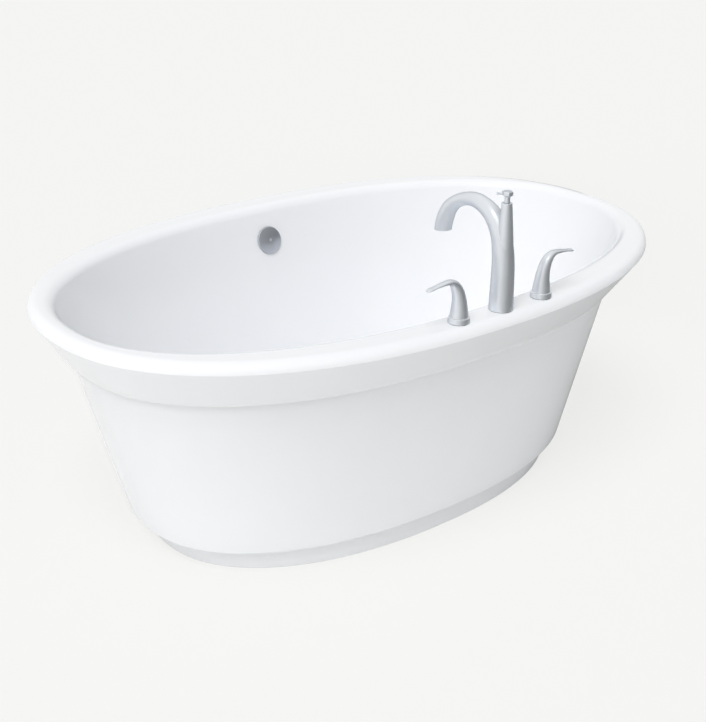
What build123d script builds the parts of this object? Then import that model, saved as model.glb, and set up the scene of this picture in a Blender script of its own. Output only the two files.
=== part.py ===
import os
from math import atan, cos, degrees, pi, radians, sin

from build123d import *

os.makedirs("parts", exist_ok=True)

# All lengths are millimetres. X runs along the bath, the taps stand on its -Y side, Z is up from the floor.

# Oval plan
bath_length = 1676.0
bath_width = 1072.0
bath_height = 627.0
oval_power = 2.25
oval_points = 40
overrun = 2.0

# Rim and bowl
shell_wall = 6.0
rim_round = 24.0
lip_drop = 130.0
lip_inset_x = 69.0
lip_inset_y = 78.0
rim_end_width = 58.0
rim_side_width = 100.0
bowl_round = 30.0
bowl_floor_height = 135.0
bowl_corner_radius = 120.0
bowl_lean_share = 0.33
bowl_end_lean_share = 1.45
top_steps = 4
corner_steps = 6

# Skirt and plinth
skirt_gap = 12.0
skirt_wall = 5.0
skirt_rise_in_lip = 48.0
skirt_foot_inset_x = 200.0
skirt_foot_inset_y = 167.5
skirt_foot_round = 9.0
plinth_height = 60.0
plinth_top_inset_x = 242.0
plinth_top_inset_y = 189.0
plinth_batter_x = 7.0
plinth_batter_y = 5.0
plinth_wall = 8.0
plinth_ledge = 22.0
flange_clearance = 4.0

# Carrying frame
board_thickness = 18.0
board_length = 800.0
board_side_margin = 65.0
board_drain_clearance = 6.0
beam_height = 40.0
beam_depth = 40.0
beam_wall = 3.0
beam_length = 400.0
beam_spacing = 600.0
foot_spacing = 340.0
foot_pad_radius = 25.0
foot_pad_height = 12.0
foot_pad_edge = 4.0
foot_rod_radius = 6.0
foot_rod_reach = 20.0
foot_hole_clearance = 0.4
foot_nut_width = 19.0
foot_nut_height = 10.0
strut_spacing = 700.0
strut_length = 60.0
strut_depth = 14.0
strut_seat_setback = 1.0
screw_radius = 1.75
screw_head_radius = 3.5
screw_edge = 3.0
screw_head_height = 2.4
screw_bite = 22.0
screw_spacing = 36.0

# Taps and overflow stand a little off the middle
fittings_x = 14.0
tap_setback = 45.0
tap_spacing = 252.0

# Overflow
overflow_drop = 90.0
overflow_radius = 37.0
overflow_thickness = 8.0
overflow_edge = 3.0
overflow_hole_radius = 26.0
overflow_gasket_thickness = 1.5
overflow_channel_radius = 5.5
spigot_clearance = 0.5
overflow_body_radius = 30.0
overflow_body_depth = 20.0
overflow_body_wall = 2.5
overflow_spigot_radius = 12.0
overflow_spigot_length = 44.0
overflow_pipe_radius = 10.0
overflow_pipe_wall = 1.5
overflow_screw_radius = 2.5
overflow_screw_head_radius = 4.5
overflow_screw_head_height = 2.0
overflow_slot_width = 0.8
pipe_fit = 0.05

# Drain and waste
drain_setback = 436.0
drain_flange_radius = 35.0
drain_flange_height = 3.0
drain_tail_radius = 22.6
drain_tail_wall = 3.4
drain_tail_length = 30.0
drain_hole_clearance = 0.5
drain_gasket_thickness = 3.0
shoe_flange_radius = 32.0
shoe_flange_height = 5.0
shoe_wall = 3.4
shoe_depth = 62.0
shoe_arm = 58.0
waste_radius = 19.05
waste_wall = 1.6
waste_height = 84.0
stopper_radius = 27.0
stopper_height = 5.0
stopper_edge = 3.5
stopper_stem_radius = 4.0
stopper_stem_length = 30.0
stopper_running_fit = 0.05
spider_height = 5.0
spider_hub_radius = 8.0
spider_arm_width = 4.0
seal_thickness = 1.6
tee_setback = 241.0
tee_wall = 3.4
tee_half_height = 30.0
tee_arm = 36.0
tee_arm_step = 0.5
pipe_socket = 12.0
tail_end_height = 8.0
tail_neck_step = 0.6
tail_neck_gap = 1.0
slip_nut_radius = 25.5
slip_nut_length = 16.0
pipe_bend_radius = 60.0

# Spout
column_radius = 27.5
column_height = 243.5
column_tip_share = 0.9
spout_reach = 200.0
spout_rise = 226.0
spout_wall = 4.0
outlet_rise = 131.5
outlet_tilt = 3.0
insert_thickness = 5.0
insert_hole_radius = 1.6
insert_rings = 2
insert_ring_holes = 6
gasket_thickness = 1.0
shank_radius = 13.0
shank_bore = 8.0
shank_length = 52.0
shank_socket = 14.0
union_height = 36.0
union_radius = 8.0
union_length = 19.0
transfer_pipe_radius = 5.0
transfer_pipe_wall = 1.0
transfer_socket = 6.0
washer_radius = 17.5
washer_thickness = 3.0
lock_nut_width = 32.0
lock_nut_height = 9.0

# Diverter on top of the spout column
knob_radius = 12.2
knob_height = 12.0
knob_neck_radius = 6.0
knob_neck_height = 13.5
knob_waist_share = 0.62
knob_flare_share = 0.33
knob_edge = 1.2
diverter_spindle_radius = 4.0
diverter_spindle_depth = 22.0
running_fit = 0.05
turning_gap = 0.3
diverter_pin_radius = 2.3
diverter_pin_length = 21.0
diverter_pin_tip_radius = 3.0
diverter_pin_angle = 135.0

# Tap handles
escutcheon_radius = 24.5
escutcheon_height = 11.0
escutcheon_bevel = 1.0
collar_radius = 22.4
collar_height = 1.2
lever_radius = 20.9
lever_height = 98.5
lever_reach = 94.0
valve_radius = 11.0
valve_length = 48.0
valve_rise = 9.0
inlet_radius = 7.94
inlet_length = 12.0
inlet_bore = 3.5
spindle_radius = 5.0
spindle_rise = 30.0
spindle_depth = 30.0
set_screw_radius = 1.8
set_screw_length = 8.0
set_screw_height = 9.0

# Worked out from the driving sizes
half_length = bath_length / 2
half_width = bath_width / 2
tap_line = half_width - tap_setback
drain_y = half_width - drain_setback
tee_y = half_width - tee_setback
overflow_height = bath_height - overflow_drop
board_width = 2 * (drain_y + board_side_margin)
skirt_foot_length = bath_length - 2 * skirt_foot_inset_x
skirt_foot_width = bath_width - 2 * skirt_foot_inset_y
plinth_top_length = bath_length - 2 * plinth_top_inset_x
plinth_top_width = bath_width - 2 * plinth_top_inset_y
plinth_length = plinth_top_length - 2 * plinth_batter_x
plinth_width = plinth_top_width - 2 * plinth_batter_y
lip_low = bath_height - lip_drop
deck_under = bath_height - shell_wall
bowl_a = half_length - rim_end_width
bowl_b = half_width - rim_side_width
bowl_lean = atan(bowl_lean_share)
wall_top_inset = -bowl_round * (1 - cos(bowl_lean))
wall_top_z = bath_height - bowl_round + bowl_round * sin(bowl_lean)
wall_low_z = bowl_floor_height + bowl_corner_radius * (1 - sin(bowl_lean))
wall_low_inset = wall_top_inset + (wall_top_z - wall_low_z) * bowl_lean_share
corner_inset = wall_low_inset + bowl_corner_radius * cos(bowl_lean)
overflow_wall_inset = wall_top_inset + (wall_top_z - overflow_height) * bowl_lean_share
overflow_wall_a = bowl_a - overflow_wall_inset * bowl_end_lean_share
overflow_wall_share = ((fittings_x + overflow_radius) / overflow_wall_a) ** oval_power
overflow_seat = (bowl_b - overflow_wall_inset) * (1 - (1 - overflow_wall_share) ** (1 / oval_power))
skirt_top_a = half_length - lip_inset_x - skirt_gap
skirt_top_b = half_width - lip_inset_y - skirt_gap
skirt_top = lip_low + skirt_rise_in_lip
skirt_slope_a = (skirt_top_a - skirt_foot_length / 2) / (lip_low - plinth_height)
skirt_slope_b = (skirt_top_b - skirt_foot_width / 2) / (lip_low - plinth_height)
ledge_a = plinth_top_length / 2 - plinth_ledge
ledge_b = plinth_top_width / 2 - plinth_ledge
floor_under = bowl_floor_height - shell_wall
board_under = floor_under - board_thickness
beam_under = board_under - beam_height
spout_xy = (fittings_x, -tap_line)
MIN_Z = (Align.CENTER, Align.CENTER, Align.MIN)
MAX_Z = (Align.CENTER, Align.CENTER, Align.MAX)


def oval_share(turn):
    """Where a point of the unit oval lies at this turn, as shares of the half length and half width."""
    power = 2 / oval_power
    across = abs(cos(turn)) ** power
    along = abs(sin(turn)) ** power
    return (across if cos(turn) >= 0 else -across, along if sin(turn) >= 0 else -along)


def oval_wire(a, b, z):
    shares = [oval_share(2 * pi * step / oval_points) for step in range(oval_points)]
    points = [(a * across, b * along, z) for across, along in shares]
    return Wire([Edge.make_spline(points, periodic=True)])


def oval_stack(sections):
    """A solid whose level sections are ovals, each a half length, a half width and a height."""
    wires = [oval_wire(a, b, z) for a, b, z in sections]
    return Part() + Solid.make_loft(wires, ruled=True)


def disc(radius, height, x, y, z, up=True):
    return Pos(x, y, z) * Cylinder(radius, height, align=MIN_Z if up else MAX_Z)


def tube(radius, bore, height, x, y, z):
    return disc(radius, height, x, y, z) - disc(bore, height + 2 * overrun, x, y, z - overrun)


def hexagon(width, height, x, y, z):
    """A hexagonal prism, width being the distance across its flats."""
    return Pos(x, y, z) * extrude(RegularPolygon(width / 2, 6, major_radius=False), height)


def lip_sections(skin):
    """The outside of the rim, from the lip's lower edge to the deck, moved inwards by skin."""
    a = half_length - skin
    b = half_width - skin
    low_a = half_length - lip_inset_x - skin
    low_b = half_width - lip_inset_y - skin
    drop = overrun if skin > 0 else 0
    sections = [(low_a, low_b, lip_low - drop)]
    if skin > 0:
        sections.append((low_a, low_b, lip_low))
    radius = rim_round - skin
    for step in range(top_steps + 1):
        turn = pi / 2 * step / top_steps
        inset = radius * (1 - cos(turn))
        sections.append((a - inset, b - inset, bath_height - rim_round + radius * sin(turn)))
    return sections


def bowl_section(inset, z):
    """An oval of the bowl, set in from the rim: the ends lean more than the sides."""
    end_inset = inset * bowl_end_lean_share if inset > 0 else inset
    return (bowl_a - end_inset, bowl_b - inset, z)


def bowl_sections(skin):
    """The bowl from its floor to the deck, with its surface moved outwards by skin."""
    sections = []
    radius = bowl_corner_radius + skin
    for step in range(corner_steps, -1, -1):
        turn = bowl_lean + (pi / 2 - bowl_lean) * step / corner_steps
        sections.append(bowl_section(corner_inset - radius * cos(turn),
                                     bowl_floor_height + bowl_corner_radius - radius * sin(turn)))
    radius = bowl_round - skin
    for step in range(top_steps, -1, -1):
        turn = (pi / 2 - bowl_lean) * step / top_steps
        sections.append(bowl_section(radius * sin(turn) - bowl_round,
                                     bath_height - bowl_round + radius * cos(turn)))
    return sections


def bowl_wall_b(z):
    """How far the bowl's inner side wall stands from the middle at this height."""
    return bowl_b - wall_top_inset - (wall_top_z - z) * bowl_lean_share


def tub_shell():
    cap = oval_stack(lip_sections(0)) - oval_stack(lip_sections(shell_wall))
    outside = bowl_sections(shell_wall)
    rim_a, rim_b, rim_z = outside[-1]
    outside.append((rim_a, rim_b, rim_z + shell_wall / 2))
    inside = bowl_sections(0)
    rim_a, rim_b, rim_z = inside[-1]
    inside.append((rim_a, rim_b, rim_z + overrun))
    shell = cap + oval_stack(outside) - oval_stack(inside)
    hole_z = deck_under - overrun
    hole_height = shell_wall + 2 * overrun
    shell -= disc(shank_radius + drain_hole_clearance, hole_height, *spout_xy, hole_z)
    for side in (-1, 1):
        tap_x = fittings_x + side * tap_spacing / 2
        shell -= disc(valve_radius + drain_hole_clearance, hole_height, tap_x, -tap_line, hole_z)
    shell -= disc(drain_tail_radius + drain_hole_clearance, hole_height, fittings_x, drain_y, floor_under - overrun)
    reach = 2 * overflow_body_depth
    shell -= overflow_frame() * Pos(0, 0, -reach / 2) * Cylinder(overflow_hole_radius, reach)
    return shell


def skirt_oval(z, skin=0):
    return (skirt_foot_length / 2 + (z - plinth_height) * skirt_slope_a - skin,
            skirt_foot_width / 2 + (z - plinth_height) * skirt_slope_b - skin, z)


def skirt_panel():
    """Tapered outer panel, with a flange turned out inside the lip and one turned in over the plinth."""
    sections = []
    for step in range(top_steps + 1):
        turn = pi / 2 * step / top_steps
        z = plinth_height + skirt_foot_round * (1 - cos(turn))
        a, b, z = skirt_oval(z, skirt_foot_round * (1 - sin(turn)))
        sections.append((a, b, z))
    sections.append(skirt_oval(skirt_top))
    panel = oval_stack(sections)
    lip_a = half_length - lip_inset_x - shell_wall - flange_clearance
    lip_b = half_width - lip_inset_y - shell_wall - flange_clearance
    rise = (skirt_top - skirt_wall - lip_low) / (lip_drop - rim_round)
    flange_a = lip_a + lip_inset_x * rise
    flange_b = lip_b + lip_inset_y * rise
    panel += oval_stack([(flange_a, flange_b, skirt_top - skirt_wall), (flange_a, flange_b, skirt_top)])
    inside = [skirt_oval(plinth_height + skirt_wall, skirt_wall), skirt_oval(skirt_top + overrun, skirt_wall)]
    panel -= oval_stack(inside)
    panel -= oval_stack([(ledge_a, ledge_b, plinth_height - overrun),
                         (ledge_a, ledge_b, plinth_height + skirt_wall + overrun)])
    for x, y, turn in strut_places():
        for screw_x, screw_y in screw_places(x, y, turn):
            panel -= disc(screw_radius + pipe_fit, skirt_wall + 2 * overrun, screw_x, screw_y,
                          skirt_top - skirt_wall - overrun)
    return panel


def plinth_ring():
    """Tapered kick plinth, with a ledge turned in under the skirt."""
    foot = (plinth_length / 2, plinth_width / 2)
    top = (plinth_top_length / 2, plinth_top_width / 2)
    ring = oval_stack([(foot[0], foot[1], 0), (top[0], top[1], plinth_height)])
    ring -= oval_stack([(foot[0] - plinth_wall, foot[1] - plinth_wall, -overrun),
                        (top[0] - plinth_wall, top[1] - plinth_wall, plinth_height - plinth_wall)])
    ring -= oval_stack([(ledge_a, ledge_b, plinth_height - plinth_wall - overrun),
                        (ledge_a, ledge_b, plinth_height + overrun)])
    return ring


def floor_board():
    board = oval_stack([(board_length / 2, board_width / 2, board_under),
                        (board_length / 2, board_width / 2, floor_under)])
    hole = shoe_flange_radius + board_drain_clearance
    return board - disc(hole, board_thickness + 2 * overrun, fittings_x, drain_y, board_under - overrun)


def foot_places():
    return [(sx * beam_spacing / 2, sy * foot_spacing / 2) for sx in (-1, 1) for sy in (-1, 1)]


def cross_beams():
    """Two square steel tubes across the bath, drilled for the levelling feet."""
    beams = Part()
    for side in (-1, 1):
        place = Pos(side * beam_spacing / 2, 0, beam_under + beam_height / 2)
        beam = place * Box(beam_depth, beam_length, beam_height)
        inner = 2 * beam_wall
        beam -= place * Box(beam_depth - inner, beam_length + 2 * overrun, beam_height - inner)
        beams += beam
    for x, y in foot_places():
        beams -= disc(foot_rod_radius + foot_hole_clearance, beam_height / 2, x, y, beam_under - overrun)
    return beams


def levelling_feet():
    feet = Part()
    rod_top = beam_under + foot_rod_reach
    for x, y in foot_places():
        foot = disc(foot_pad_radius, foot_pad_height, x, y, 0)
        foot = chamfer(foot.edges().group_by(Axis.Z)[-1], foot_pad_edge)
        feet += Part() + foot + disc(foot_rod_radius, rod_top, x, y, 0)
    return feet


def foot_lock_nuts():
    nuts = Part()
    for x, y in foot_places():
        for z in (beam_under - foot_nut_height, beam_under + beam_wall):
            nut = hexagon(foot_nut_width, foot_nut_height, x, y, z)
            nuts += nut - disc(foot_rod_radius, foot_nut_height + 2 * overrun, x, y, z - overrun)
    return nuts


def oval_reach(a, b, x):
    """How far out an oval lies at this place along the bath, and its slope there."""
    across = x / a
    along = (1 - across ** oval_power) ** (1 / oval_power)
    return b * along, b / a * (across / along) ** (oval_power - 1)


def strut_places():
    """Middle and turn of each strut that carries the rim on the skirt's flange."""
    x = strut_spacing / 2
    inner, slope = oval_reach(bowl_a + bowl_round, bowl_b + bowl_round, x)
    middle = inner + strut_seat_setback + strut_depth / 2
    tilt = degrees(atan(slope))
    return [(sx * x, sy * middle, -sx * sy * tilt) for sx in (-1, 1) for sy in (-1, 1)]


def screw_places(x, y, turn):
    """The two screws of a strut, near its inner face, where the flange is."""
    shift = screw_spacing / 2
    inset = (strut_depth / 2 - screw_edge) * (-1 if y > 0 else 1)
    c, s = cos(radians(turn)), sin(radians(turn))
    return [(x + side * shift * c - inset * s, y + side * shift * s + inset * c) for side in (-1, 1)]


def rim_struts():
    struts = Part()
    height = deck_under - skirt_top
    for x, y, turn in strut_places():
        strut = Pos(x, y, skirt_top) * Rot(0, 0, turn) * Box(strut_length, strut_depth, height, align=MIN_Z)
        for screw_x, screw_y in screw_places(x, y, turn):
            strut -= disc(screw_radius, screw_bite + overrun, screw_x, screw_y, skirt_top - overrun)
        struts += strut
    return struts


def strut_screws():
    screws = Part()
    flange_under = skirt_top - skirt_wall
    for x, y, turn in strut_places():
        for screw_x, screw_y in screw_places(x, y, turn):
            head = disc(screw_head_radius, screw_head_height, screw_x, screw_y, flange_under, up=False)
            screws += head + disc(screw_radius, skirt_wall + screw_bite, screw_x, screw_y, flange_under)
    return screws


def overflow_frame():
    """Frame on the bowl's inner far wall, with its Z pointing into the bowl."""
    wall_y = bowl_wall_b(overflow_height) - overflow_seat
    tilt = degrees(bowl_lean)
    return Location((fittings_x, wall_y, overflow_height), (90 - tilt, 0, 0))


def overflow_cover():
    cover = Cylinder(overflow_radius, overflow_thickness, align=MIN_Z)
    cover = fillet(cover.edges().group_by(Axis.Z)[-1], overflow_edge)
    head = overflow_screw_head_height
    cover -= Pos(0, 0, -overrun) * Cylinder(overflow_screw_radius + pipe_fit, overflow_thickness + 2 * overrun,
                                           align=MIN_Z)
    cover -= Pos(0, 0, overflow_thickness - head) * Cylinder(overflow_screw_head_radius + pipe_fit,
                                                            head + overrun, align=MIN_Z)
    hollow = overflow_thickness / 2
    cover -= Pos(0, 0, -overrun) * (Cylinder(overflow_hole_radius, hollow + overrun, align=MIN_Z)
                                    - Cylinder(overflow_screw_head_radius * 2, hollow + overrun, align=MIN_Z))
    gap = overflow_gasket_thickness
    return overflow_frame() * Pos(0, 0, gap) * cover


def overflow_gasket():
    ring = Cylinder(overflow_radius - overflow_edge, overflow_gasket_thickness, align=MIN_Z)
    ring -= Pos(0, 0, -overrun) * Cylinder(overflow_hole_radius, overflow_gasket_thickness + 2 * overrun,
                                          align=MIN_Z)
    return overflow_frame() * ring


def overflow_body_back():
    return shell_wall + overflow_body_depth


def spigot_z():
    """The spigot clears the bowl's outer face, measured in the overflow's frame."""
    return -(shell_wall + spigot_clearance + overflow_spigot_radius)


def overflow_screw():
    top = overflow_gasket_thickness + overflow_thickness
    head = overflow_screw_head_height
    length = top + overflow_body_back() - overflow_body_wall * 2
    screw = Pos(0, 0, top) * Cylinder(overflow_screw_radius, length, align=MAX_Z)
    screw += Pos(0, 0, top) * Cylinder(overflow_screw_head_radius, head, align=MAX_Z)
    slot = Box(overflow_screw_head_radius * 2, overflow_slot_width, head)
    return overflow_frame() * (screw - Pos(0, 0, top) * slot)


def overflow_elbow():
    """Shallow box behind the wall, with a spigot that runs down along it."""
    back = overflow_body_back()
    down = Pos(0, 0, spigot_z()) * Rot(90, 0, 0)
    body = Pos(0, 0, -back) * Cylinder(overflow_body_radius, overflow_body_depth - overflow_seat, align=MIN_Z)
    sleeve_start = overflow_body_radius - overflow_spigot_radius
    sleeve_length = overflow_spigot_radius + overflow_spigot_length
    body += down * Pos(0, 0, sleeve_start) * Cylinder(overflow_spigot_radius, sleeve_length, align=MIN_Z)
    hollow = Cylinder(overflow_body_radius - overflow_body_wall, overflow_body_depth, align=MIN_Z)
    body -= Pos(0, 0, overflow_body_wall - back) * hollow
    socket = overflow_spigot_length / 2
    body -= down * Cylinder(overflow_channel_radius, overflow_body_radius + socket + overrun, align=MIN_Z)
    body -= down * Pos(0, 0, overflow_body_radius + socket) * Cylinder(
        overflow_pipe_radius + pipe_fit, socket + overrun, align=MIN_Z)
    boss = Cylinder(overflow_screw_radius * 2, overflow_body_depth - overflow_seat, align=MIN_Z)
    boss -= Cylinder(overflow_screw_radius, overflow_body_depth + overrun, align=MIN_Z)
    body += Pos(0, 0, -back) * boss
    return overflow_frame() * body


def overflow_route():
    """Path of the overflow pipe, from the spigot down along the bowl to the top of the tee."""
    seat = overflow_body_radius + overflow_spigot_length / 2
    top = (overflow_frame() * Pos(0, -seat, spigot_z())).position
    knee_z = waste_height + tee_half_height + pipe_bend_radius / 2
    knee_y = top.Y - (top.Z - knee_z) * bowl_lean_share
    foot_z = waste_height + waste_radius
    points = [(top.X, top.Y, top.Z), (top.X, knee_y, knee_z), (fittings_x, tee_y, foot_z)]
    return FilletPolyline(*points, radius=pipe_bend_radius)


def along_route(section):
    path = overflow_route()
    return sweep(Plane(origin=path @ 0, z_dir=path % 0) * section, path=path)


def overflow_pipe():
    return along_route(Circle(overflow_pipe_radius) - Circle(overflow_pipe_radius - overflow_pipe_wall))


def drain_flange():
    """Flanged drain body through the floor, with a spider that guides the stopper."""
    x, y = fittings_x, drain_y
    top = bowl_floor_height + drain_flange_height
    bore = drain_tail_radius - drain_tail_wall
    flange = disc(drain_flange_radius, drain_flange_height, x, y, bowl_floor_height)
    flange = fillet(flange.edges().group_by(Axis.Z)[-1], drain_flange_height / 2)
    flange += disc(drain_tail_radius, drain_tail_length, x, y, bowl_floor_height, up=False)
    flange -= disc(bore, top + overrun, x, y, 0)
    hub_z = bowl_floor_height - drain_tail_length
    flange += disc(spider_hub_radius, spider_height, x, y, hub_z)
    arm = Pos(x, y, hub_z) * Box(2 * bore + overrun, spider_arm_width, spider_height, align=MIN_Z)
    flange += arm + Pos(x, y, 0) * Rot(0, 0, 90) * Pos(-x, -y, 0) * arm
    return flange - disc(stopper_stem_radius + stopper_running_fit, top, x, y, hub_z - overrun)


def drain_stopper():
    """Domed stopper with the stem that slides in the spider."""
    x, y = fittings_x, drain_y
    seat = bowl_floor_height + drain_flange_height + seal_thickness
    cap = disc(stopper_radius, stopper_height, x, y, seat)
    cap = fillet(cap.edges().group_by(Axis.Z)[-1], stopper_edge)
    return cap + disc(stopper_stem_radius, stopper_stem_length, x, y, seat, up=False)


def stopper_seal():
    seat = bowl_floor_height + drain_flange_height
    bore = stopper_stem_radius
    return tube(stopper_radius - seal_thickness, bore, seal_thickness, fittings_x, drain_y, seat)


def drain_gasket():
    z = floor_under - drain_gasket_thickness
    bore = drain_tail_radius + drain_hole_clearance
    return tube(shoe_flange_radius, bore, drain_gasket_thickness, fittings_x, drain_y, z)


def drain_shoe():
    """Elbow that the drain body screws into, with an arm towards the overflow."""
    x, y = fittings_x, drain_y
    top = floor_under - drain_gasket_thickness
    low = top - shoe_depth
    outer = drain_tail_radius + shoe_wall
    shoe = disc(shoe_flange_radius, shoe_flange_height, x, y, top, up=False)
    shoe += disc(outer, shoe_depth, x, y, low)
    along = Pos(x, y, waste_height) * Rot(-90, 0, 0)
    shoe += along * Cylinder(waste_radius + shoe_wall, shoe_arm, align=MIN_Z)
    shoe -= disc(drain_tail_radius + pipe_fit, shoe_depth, x, y, low + shoe_wall)
    shoe -= along * Cylinder(waste_radius - waste_wall, shoe_arm + overrun, align=MIN_Z)
    shoulder = shoe_arm - pipe_socket
    shoe -= along * Pos(0, 0, shoulder) * Cylinder(waste_radius + pipe_fit, pipe_socket + overrun, align=MIN_Z)
    return shoe


def waste_ends():
    """Where the cross pipe starts and stops: the shoulders of its two sockets."""
    start = drain_y + shoe_arm - pipe_socket
    stop = tee_y - tee_arm + pipe_socket
    return start, stop


def waste_pipe():
    start, stop = waste_ends()
    along = Pos(fittings_x, start, waste_height) * Rot(-90, 0, 0)
    pipe = along * Cylinder(waste_radius, stop - start, align=MIN_Z)
    return pipe - along * Pos(0, 0, -overrun) * Cylinder(waste_radius - waste_wall, stop - start + 2 * overrun,
                                                        align=MIN_Z)


def slip_nuts():
    nuts = Part()
    start, stop = waste_ends()
    for end in (start + pipe_socket, stop - pipe_socket - slip_nut_length):
        along = Pos(fittings_x, end, waste_height) * Rot(-90, 0, 0)
        nut = along * Cylinder(slip_nut_radius, slip_nut_length, align=MIN_Z)
        nuts += nut - along * Pos(0, 0, -overrun) * Cylinder(waste_radius + pipe_fit,
                                                            slip_nut_length + 2 * overrun, align=MIN_Z)
    return nuts


def waste_tee():
    """Tee that joins the cross pipe, the overflow pipe and the tailpiece."""
    x, y = fittings_x, tee_y
    outer = waste_radius + tee_wall
    low = waste_height - tee_half_height
    tee = disc(outer, 2 * tee_half_height, x, y, low)
    along = Pos(x, y, waste_height) * Rot(90, 0, 0)
    tee += along * Cylinder(outer - tee_arm_step, tee_arm, align=MIN_Z)
    inner = waste_radius - waste_wall
    tee -= disc(inner - tee_arm_step, 2 * tee_half_height - tee_wall, x, y, low)
    tee -= along * Cylinder(inner, tee_arm + overrun, align=MIN_Z)
    tee -= along * Pos(0, 0, tee_arm - pipe_socket) * Cylinder(
        waste_radius + pipe_fit, pipe_socket + overrun, align=MIN_Z)
    tee -= disc(waste_radius - tail_neck_step + pipe_fit, pipe_socket + overrun, x, y, low - overrun)
    path = overflow_route()
    foot = Plane(origin=path @ 1, z_dir=path % 1).location
    return tee - foot * Cylinder(overflow_pipe_radius + pipe_fit, 2 * pipe_socket, align=MAX_Z)


def tailpiece():
    """Tube that hangs from the tee, with a narrower neck in the tee's socket."""
    x, y, low = fittings_x, tee_y, tail_end_height
    shoulder = waste_height - tee_half_height - tail_neck_gap
    length = waste_height - tee_half_height + pipe_socket - low
    tail = disc(waste_radius, shoulder - low, x, y, low) + disc(waste_radius - tail_neck_step, length, x, y, low)
    return tail - disc(waste_radius - waste_wall, length + 2 * overrun, x, y, low - overrun)


# Outline of the rear tube that carries the diverter, from inside the arch to its top: radius and height,
# as shares of the column's foot radius and height
stem_shares = [(0.755, 0.41), (0.74, 0.5), (0.72, 0.575), (0.651, 0.69), (0.531, 0.846), (0.425, 0.98)]
# Centre line of the column and arch and its radius, as shares of the reach, the rise and the foot radius
arch_shares = [(0.0, 0.0, 1.0), (0.0, 0.15, 0.975), (0.0, 0.3, 0.945), (0.003, 0.442, 0.916), (0.013, 0.553, 0.887),
               (0.035, 0.664, 0.847), (0.072, 0.761, 0.815), (0.128, 0.841, 0.778), (0.21, 0.916, 0.735),
               (0.33, 0.972, 0.669), (0.468, 1.0, 0.607), (0.595, 0.989, 0.553), (0.707, 0.956, 0.542),
               (0.805, 0.905, 0.578), (0.885, 0.84, 0.64), (0.945, 0.75, 0.698), (0.98, 0.659, 0.724),
               (0.995, 0.58, 0.724), (1.0, 0.49, 0.724)]
bore_points = 5


def spout_frame():
    return Pos(fittings_x, -tap_line, bath_height)


def arch_planes():
    """Section planes and radii along the arch, from the deck to past the outlet."""
    points = [Vector(0, spout_reach * along, spout_rise * up) for along, up, _ in arch_shares]
    planes = []
    for index, point in enumerate(points):
        before = points[max(index - 1, 0)]
        after = points[min(index + 1, len(points) - 1)]
        planes.append(Plane(origin=point, x_dir=(1, 0, 0), z_dir=after - before))
    return planes, [column_radius * share for _, _, share in arch_shares]


def round_loft(planes, radii):
    return Part() + Solid.make_loft([Wire([Edge.make_circle(r, p)]) for p, r in zip(planes, radii)])


def spout_bore():
    """Waterway behind the outlet, one wall inside the arch."""
    planes, radii = arch_planes()
    return round_loft(planes[-bore_points:], [radius - spout_wall for radius in radii[-bore_points:]])


def spout_body():
    outline = [(column_radius * across, column_height * up) for across, up in stem_shares]
    side = Spline(*[(r, 0, z) for r, z in outline])
    foot_r, foot_z = outline[0]
    end_r, end_z = outline[-1]
    base = Polyline((end_r, 0, end_z), (end_r * column_tip_share, 0, column_height), (0, 0, column_height),
                    (0, 0, foot_z), (foot_r, 0, foot_z))
    stem = revolve(make_face(side + base), Axis.Z)
    body = round_loft(*arch_planes()) + stem
    body -= spout_bore()
    below = Box(4 * column_radius, 4 * column_radius, 2 * column_radius, align=MAX_Z)
    body -= Pos(0, spout_reach, outlet_rise) * Rot(-outlet_tilt, 0, 0) * below
    body -= Pos(0, 0, -overrun) * Cylinder(shank_radius + pipe_fit, shank_socket + overrun, align=MIN_Z)
    body -= Pos(0, 0, column_height - diverter_spindle_depth) * Cylinder(
        diverter_spindle_radius + running_fit, diverter_spindle_depth + overrun, align=MIN_Z)
    return spout_frame() * Pos(0, 0, gasket_thickness) * body


def spout_insert():
    """Pierced disc that straightens the flow inside the outlet."""
    planes, radii = arch_planes()
    seat = planes[1 - bore_points]
    bore_radius = radii[1 - bore_points] - spout_wall
    insert = Cylinder(column_radius, insert_thickness, align=MIN_Z)
    for ring in range(insert_rings + 1):
        count = max(1, ring * insert_ring_holes)
        reach = ring * bore_radius / (insert_rings + 1)
        for step in range(count):
            turn = 2 * pi * step / count
            hole = Cylinder(insert_hole_radius, 2 * insert_thickness + overrun)
            insert -= Pos(reach * cos(turn), reach * sin(turn), 0) * hole
    insert = (seat * insert) & spout_bore()
    return spout_frame() * Pos(0, 0, gasket_thickness) * insert


def spout_gasket():
    return tube(column_radius - gasket_thickness, shank_radius + pipe_fit, gasket_thickness, *spout_xy, bath_height)


def union_arm(x, side):
    """Side union at the transfer pipes' height, with a socket for the pipe."""
    z = bath_height - union_height
    along = Pos(x, -tap_line, z) * Rot(0, side * 90, 0)
    arm = along * Cylinder(union_radius, union_length, align=MIN_Z)
    bore = along * Cylinder(transfer_pipe_radius - transfer_pipe_wall, union_length + overrun, align=MIN_Z)
    socket = along * Pos(0, 0, union_length - transfer_socket) * Cylinder(
        transfer_pipe_radius + pipe_fit, transfer_socket + overrun, align=MIN_Z)
    return arm, bore + socket


def spout_shank():
    """Threaded shank under the spout, with a union each side for the transfer pipes."""
    top = bath_height + gasket_thickness + shank_socket
    low = bath_height - shank_length
    shank = disc(shank_radius, top - low, *spout_xy, low)
    cuts = disc(shank_bore, top - low, *spout_xy, low + shell_wall)
    for side in (-1, 1):
        arm, bore = union_arm(fittings_x, side)
        shank += arm
        cuts += bore
    return shank - cuts


def washer(radius, bore, x):
    return tube(radius, bore, washer_thickness, x, -tap_line, deck_under - washer_thickness)


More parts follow.
